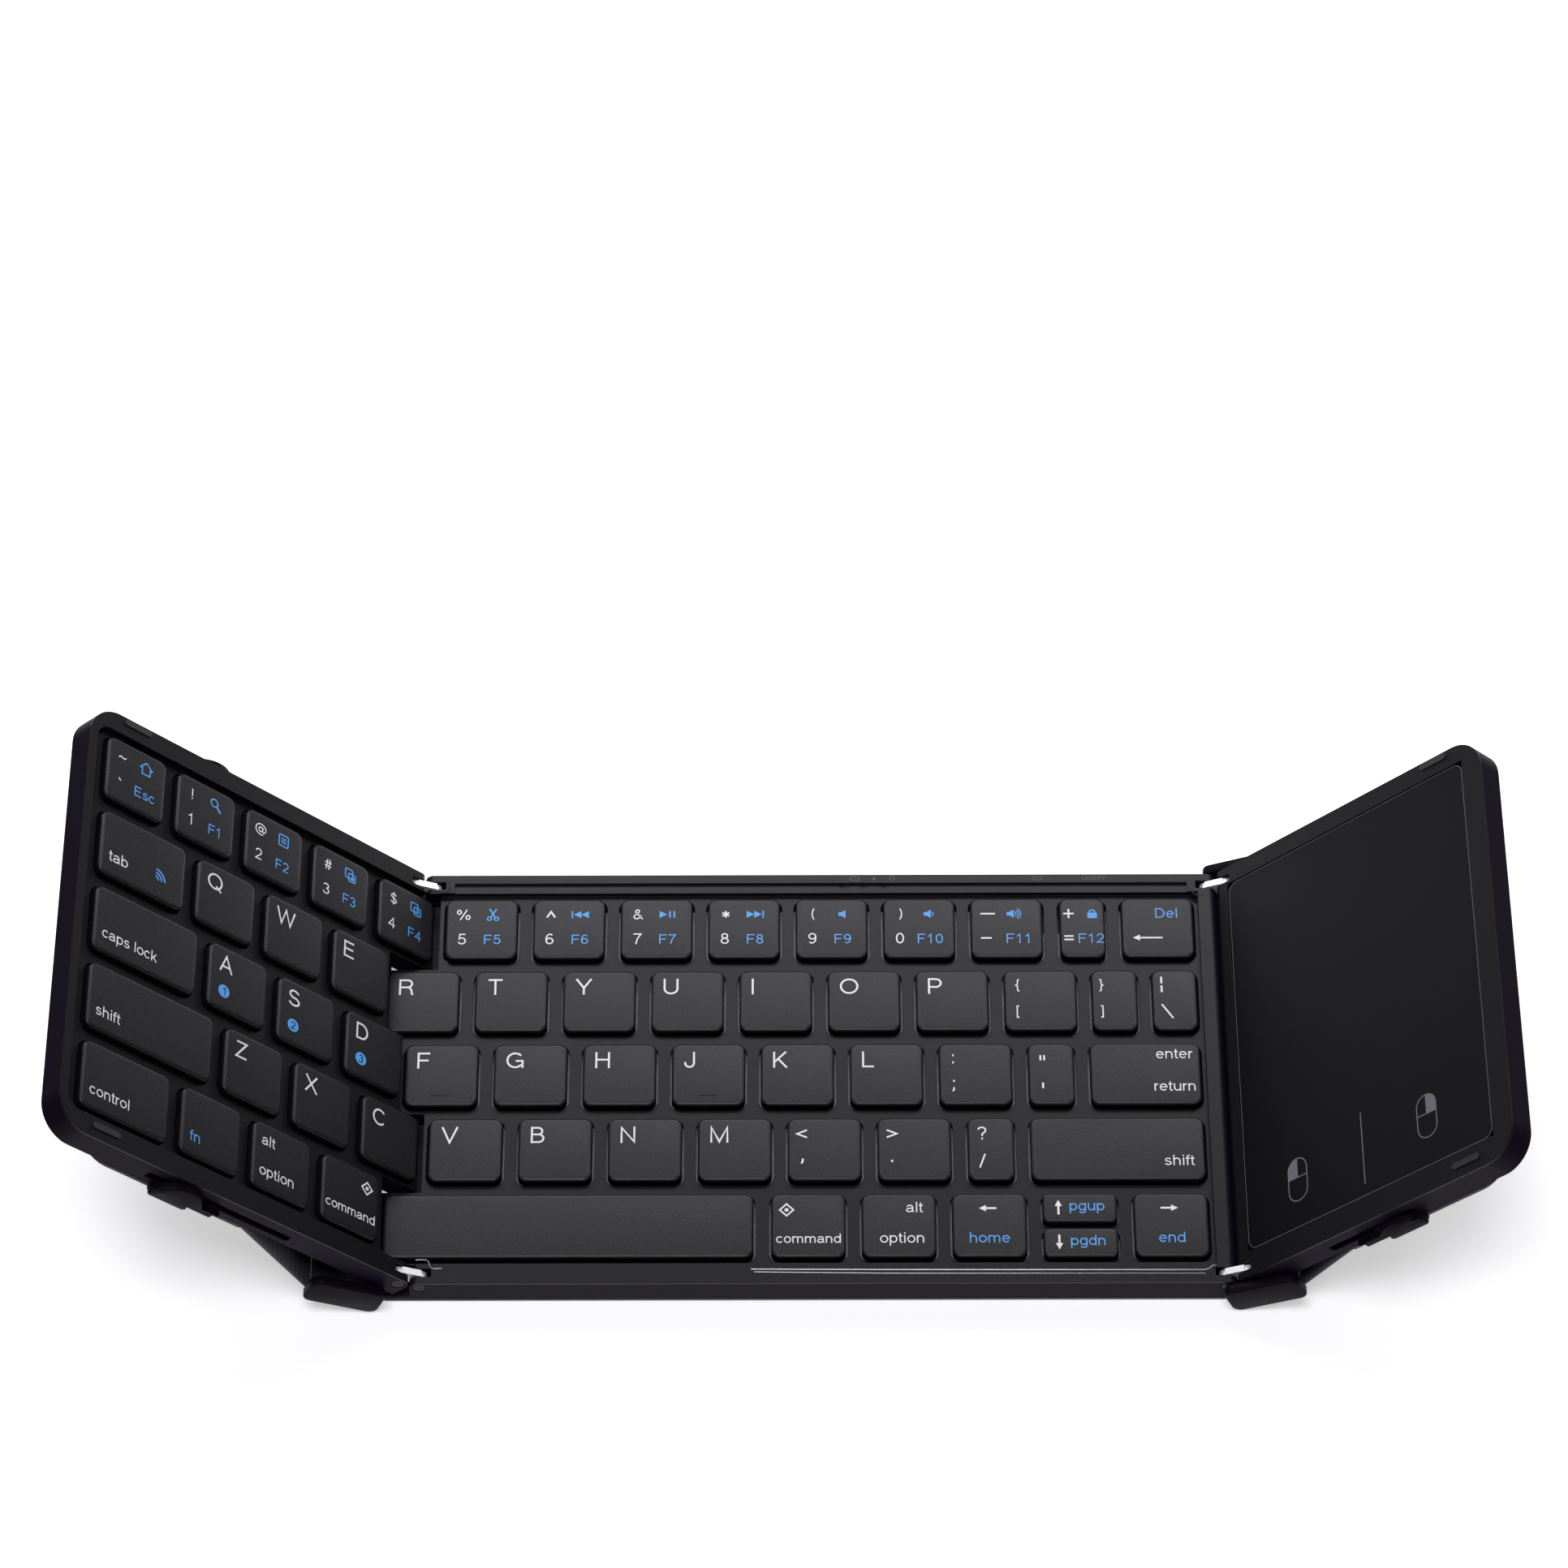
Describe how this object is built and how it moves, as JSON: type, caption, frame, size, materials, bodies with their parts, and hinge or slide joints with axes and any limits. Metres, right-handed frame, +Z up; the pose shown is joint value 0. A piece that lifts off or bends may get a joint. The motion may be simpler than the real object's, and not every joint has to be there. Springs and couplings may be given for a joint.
{
  "type": "folding keyboard",
  "caption": "Slim folding keyboard in three hinged sections with key rows, a touchpad on the right wing and a wrap-around cover whose end panels slide on the wings",
  "frame": {"origin": "middle of the base cover's flat underside, which lies on the table", "axes": "+X to the user's right along the key rows, +Y away from the user, +Z up out of the key tops of the centre section"},
  "size_m": [0.2826, 0.101, 0.071],
  "materials": {
    "shell_metal": "anodised, fine satin",
    "frame_plastic": "satin",
    "key_plastic": "fine grain",
    "touch_surface": "smooth satin",
    "circuit_board": "solder mask",
    "battery_can": "foil pouch",
    "switch_film": "thin film",
    "port_metal": "plated",
    "trim_plastic": "smooth, slightly glossy",
    "light_lens": "clear lens",
    "link_metal": "polished plate",
    "pin_steel": "turned",
    "cover_cloth": "fine weave on board",
    "bumper_rubber": "soft rubber"
  },
  "bodies": {
    "centre": {"centre_shell": "shell_metal", "centre_frame": "frame_plastic", "main_board": "circuit_board", "centre_switch_sheet": "switch_film", "charging_port": "port_metal", "indicator_lights": "light_lens", "base_cover": "cover_cloth"},
    "left_link": {"left_hinge_links": "link_metal", "left_hinge_pins": "pin_steel"},
    "right_link": {"right_hinge_links": "link_metal", "right_hinge_pins": "pin_steel"},
    "left_wing": {"left_shell": "shell_metal", "left_frame": "frame_plastic", "left_switch_sheet": "switch_film", "left_bumpers": "bumper_rubber"},
    "right_wing": {"right_shell": "shell_metal", "right_frame": "frame_plastic", "touchpad_panel": "touch_surface", "touchpad_board": "circuit_board", "battery": "battery_can", "right_bumpers": "bumper_rubber"},
    "left_cover_spine": {"left_spine": "trim_plastic"},
    "right_cover_spine": {"right_spine": "trim_plastic"},
    "left_cover_panels": {"left_inner_panel": "cover_cloth", "left_outer_panel": "cover_cloth", "left_slide_clips": "trim_plastic"},
    "right_cover_panels": {"right_fold_strip": "cover_cloth", "right_panel": "cover_cloth", "right_slide_clips": "trim_plastic"},
    "switch_knob": {"power_switch": "trim_plastic"},
    "esc_key_body": {"esc_key": "key_plastic"},
    "left_digit_keys_body": {"left_digit_keys": "key_plastic"},
    "tab_key_body": {"tab_key": "key_plastic"},
    "left_top_keys_body": {"left_top_keys": "key_plastic"},
    "caps_key_body": {"caps_key": "key_plastic"},
    "left_home_keys_body": {"left_home_keys": "key_plastic"},
    "left_shift_key_body": {"left_shift_key": "key_plastic"},
    "left_bottom_keys_body": {"left_bottom_keys": "key_plastic"},
    "control_key_body": {"control_key": "key_plastic"},
    "fn_key_body": {"fn_key": "key_plastic"},
    "left_alt_key_body": {"left_alt_key": "key_plastic"},
    "left_command_key_body": {"left_command_key": "key_plastic"},
    "digit_keys_body": {"digit_keys": "key_plastic"},
    "equals_key_body": {"equals_key": "key_plastic"},
    "delete_key_body": {"delete_key": "key_plastic"},
    "top_keys_body": {"top_keys": "key_plastic"},
    "bracket_key_body": {"bracket_key": "key_plastic"},
    "backslash_key_body": {"backslash_key": "key_plastic"},
    "home_keys_body": {"home_keys": "key_plastic"},
    "quote_key_body": {"quote_key": "key_plastic"},
    "enter_key_body": {"enter_key": "key_plastic"},
    "bottom_keys_body": {"bottom_keys": "key_plastic"},
    "slash_key_body": {"slash_key": "key_plastic"},
    "right_shift_key_body": {"right_shift_key": "key_plastic"},
    "space_bar_body": {"space_bar": "key_plastic"},
    "right_modifier_keys_body": {"right_modifier_keys": "key_plastic"},
    "left_arrow_key_body": {"left_arrow_key": "key_plastic"},
    "up_arrow_key_body": {"up_arrow_key": "key_plastic"},
    "down_arrow_key_body": {"down_arrow_key": "key_plastic"},
    "right_arrow_key_body": {"right_arrow_key": "key_plastic"}
  },
  "joints": [
    {"name": "left_link_hinge", "type": "hinge", "parent": "centre", "child": "left_link", "pos_m": [-0.07985, 0, 0.0053], "axis": [0, 1, 0], "range_deg": [-22.86, 67.16]},
    {"name": "left_wing_hinge", "type": "hinge", "parent": "left_link", "child": "left_wing", "pos_m": [-0.0839, 0, 0.00701], "axis": [0, 1, 0], "range_deg": [-22.85, 67.15], "deforming": ["left_inner_panel"]},
    {"name": "left_spine_fold", "type": "hinge", "parent": "centre", "child": "left_cover_spine", "pos_m": [-0.0899, 0, 0.00195], "axis": [0, 1, 0], "range_deg": [-22.86, 67.16]},
    {"name": "left_panel_slide", "type": "slide", "parent": "left_wing", "child": "left_cover_panels", "axis": [-0.6984, 0, 0.7157], "range_m": [-0.02196, 0.00748]},
    {"name": "right_link_hinge", "type": "hinge", "parent": "centre", "child": "right_link", "pos_m": [0.07985, 0, 0.0053], "axis": [0, -1, 0], "range_deg": [-23.06, 66.96]},
    {"name": "right_wing_hinge", "type": "hinge", "parent": "right_link", "child": "right_wing", "pos_m": [0.0839, 0, 0.00702], "axis": [0, -1, 0], "range_deg": [-23.05, 66.95], "deforming": ["right_fold_strip"]},
    {"name": "right_spine_fold", "type": "hinge", "parent": "centre", "child": "right_cover_spine", "pos_m": [0.08265, 0, 0.00195], "axis": [0, -1, 0], "range_deg": [-23.06, 66.96]},
    {"name": "right_panel_slide", "type": "slide", "parent": "right_wing", "child": "right_cover_panels", "axis": [0.6934, 0, 0.7206], "range_m": [-0.0111, 0.00384]},
    {"name": "power_switch_slide", "type": "slide", "parent": "centre", "child": "switch_knob", "axis": [1, 0, 0], "range_m": [0, 0.0028]},
    {"name": "esc_key_press", "type": "slide", "parent": "left_wing", "child": "esc_key_body", "axis": [-0.7157, 0, -0.6984], "range_m": [0, 0.0014], "stiffness_N_per_m": 260, "springref_m": -0.0004},
    {"name": "left_digit_keys_press", "type": "slide", "parent": "left_wing", "child": "left_digit_keys_body", "axis": [-0.7157, 0, -0.6984], "range_m": [0, 0.0014], "stiffness_N_per_m": 1040, "springref_m": -0.0004},
    {"name": "tab_key_press", "type": "slide", "parent": "left_wing", "child": "tab_key_body", "axis": [-0.7157, 0, -0.6984], "range_m": [0, 0.0014], "stiffness_N_per_m": 260, "springref_m": -0.0004},
    {"name": "left_top_keys_press", "type": "slide", "parent": "left_wing", "child": "left_top_keys_body", "axis": [-0.7157, 0, -0.6984], "range_m": [0, 0.0014], "stiffness_N_per_m": 780, "springref_m": -0.0004},
    {"name": "caps_key_press", "type": "slide", "parent": "left_wing", "child": "caps_key_body", "axis": [-0.7157, 0, -0.6984], "range_m": [0, 0.0014], "stiffness_N_per_m": 260, "springref_m": -0.0004},
    {"name": "left_home_keys_press", "type": "slide", "parent": "left_wing", "child": "left_home_keys_body", "axis": [-0.7157, 0, -0.6984], "range_m": [0, 0.0014], "stiffness_N_per_m": 780, "springref_m": -0.0004},
    {"name": "left_shift_key_press", "type": "slide", "parent": "left_wing", "child": "left_shift_key_body", "axis": [-0.7157, 0, -0.6984], "range_m": [0, 0.0014], "stiffness_N_per_m": 260, "springref_m": -0.0004},
    {"name": "left_bottom_keys_press", "type": "slide", "parent": "left_wing", "child": "left_bottom_keys_body", "axis": [-0.7157, 0, -0.6984], "range_m": [0, 0.0014], "stiffness_N_per_m": 780, "springref_m": -0.0004},
    {"name": "control_key_press", "type": "slide", "parent": "left_wing", "child": "control_key_body", "axis": [-0.7157, 0, -0.6984], "range_m": [0, 0.0014], "stiffness_N_per_m": 260, "springref_m": -0.0004},
    {"name": "fn_key_press", "type": "slide", "parent": "left_wing", "child": "fn_key_body", "axis": [-0.7157, 0, -0.6984], "range_m": [0, 0.0014], "stiffness_N_per_m": 260, "springref_m": -0.0004},
    {"name": "left_alt_key_press", "type": "slide", "parent": "left_wing", "child": "left_alt_key_body", "axis": [-0.7157, 0, -0.6984], "range_m": [0, 0.0014], "stiffness_N_per_m": 260, "springref_m": -0.0004},
    {"name": "left_command_key_press", "type": "slide", "parent": "left_wing", "child": "left_command_key_body", "axis": [-0.7157, 0, -0.6984], "range_m": [0, 0.0014], "stiffness_N_per_m": 260, "springref_m": -0.0004},
    {"name": "digit_keys_press", "type": "slide", "parent": "centre", "child": "digit_keys_body", "axis": [0, 0, -1], "range_m": [0, 0.0014], "stiffness_N_per_m": 1820, "springref_m": -0.0004},
    {"name": "equals_key_press", "type": "slide", "parent": "centre", "child": "equals_key_body", "axis": [0, 0, -1], "range_m": [0, 0.0014], "stiffness_N_per_m": 260, "springref_m": -0.0004},
    {"name": "delete_key_press", "type": "slide", "parent": "centre", "child": "delete_key_body", "axis": [0, 0, -1], "range_m": [0, 0.0014], "stiffness_N_per_m": 260, "springref_m": -0.0004},
    {"name": "top_keys_press", "type": "slide", "parent": "centre", "child": "top_keys_body", "axis": [0, 0, -1], "range_m": [0, 0.0014], "stiffness_N_per_m": 2080, "springref_m": -0.0004},
    {"name": "bracket_key_press", "type": "slide", "parent": "centre", "child": "bracket_key_body", "axis": [0, 0, -1], "range_m": [0, 0.0014], "stiffness_N_per_m": 260, "springref_m": -0.0004},
    {"name": "backslash_key_press", "type": "slide", "parent": "centre", "child": "backslash_key_body", "axis": [0, 0, -1], "range_m": [0, 0.0014], "stiffness_N_per_m": 260, "springref_m": -0.0004},
    {"name": "home_keys_press", "type": "slide", "parent": "centre", "child": "home_keys_body", "axis": [0, 0, -1], "range_m": [0, 0.0014], "stiffness_N_per_m": 1820, "springref_m": -0.0004},
    {"name": "quote_key_press", "type": "slide", "parent": "centre", "child": "quote_key_body", "axis": [0, 0, -1], "range_m": [0, 0.0014], "stiffness_N_per_m": 260, "springref_m": -0.0004},
    {"name": "enter_key_press", "type": "slide", "parent": "centre", "child": "enter_key_body", "axis": [0, 0, -1], "range_m": [0, 0.0014], "stiffness_N_per_m": 260, "springref_m": -0.0004},
    {"name": "bottom_keys_press", "type": "slide", "parent": "centre", "child": "bottom_keys_body", "axis": [0, 0, -1], "range_m": [0, 0.0014], "stiffness_N_per_m": 1560, "springref_m": -0.0004},
    {"name": "slash_key_press", "type": "slide", "parent": "centre", "child": "slash_key_body", "axis": [0, 0, -1], "range_m": [0, 0.0014], "stiffness_N_per_m": 260, "springref_m": -0.0004},
    {"name": "right_shift_key_press", "type": "slide", "parent": "centre", "child": "right_shift_key_body", "axis": [0, 0, -1], "range_m": [0, 0.0014], "stiffness_N_per_m": 364, "springref_m": -0.0004},
    {"name": "space_bar_press", "type": "slide", "parent": "centre", "child": "space_bar_body", "axis": [0, 0, -1], "range_m": [0, 0.0014], "stiffness_N_per_m": 520, "springref_m": -0.0004},
    {"name": "right_modifier_keys_press", "type": "slide", "parent": "centre", "child": "right_modifier_keys_body", "axis": [0, 0, -1], "range_m": [0, 0.0014], "stiffness_N_per_m": 520, "springref_m": -0.0004},
    {"name": "left_arrow_key_press", "type": "slide", "parent": "centre", "child": "left_arrow_key_body", "axis": [0, 0, -1], "range_m": [0, 0.0014], "stiffness_N_per_m": 260, "springref_m": -0.0004},
    {"name": "up_arrow_key_press", "type": "slide", "parent": "centre", "child": "up_arrow_key_body", "axis": [0, 0, -1], "range_m": [0, 0.0014], "stiffness_N_per_m": 260, "springref_m": -0.0004},
    {"name": "down_arrow_key_press", "type": "slide", "parent": "centre", "child": "down_arrow_key_body", "axis": [0, 0, -1], "range_m": [0, 0.0014], "stiffness_N_per_m": 260, "springref_m": -0.0004},
    {"name": "right_arrow_key_press", "type": "slide", "parent": "centre", "child": "right_arrow_key_body", "axis": [0, 0, -1], "range_m": [0, 0.0014], "stiffness_N_per_m": 260, "springref_m": -0.0004}
  ],
  "couplings": [
    {"joint": "left_link_hinge", "follows": "left_wing_hinge", "ratio": 1},
    {"joint": "left_spine_fold", "follows": "left_wing_hinge", "ratio": 1},
    {"joint": "left_panel_slide", "follows": "left_wing_hinge", "m_per_rad": -0.018717},
    {"joint": "right_link_hinge", "follows": "right_wing_hinge", "ratio": 1},
    {"joint": "right_spine_fold", "follows": "right_wing_hinge", "ratio": 1},
    {"joint": "right_panel_slide", "follows": "right_wing_hinge", "m_per_rad": -0.0094856}
  ]
}
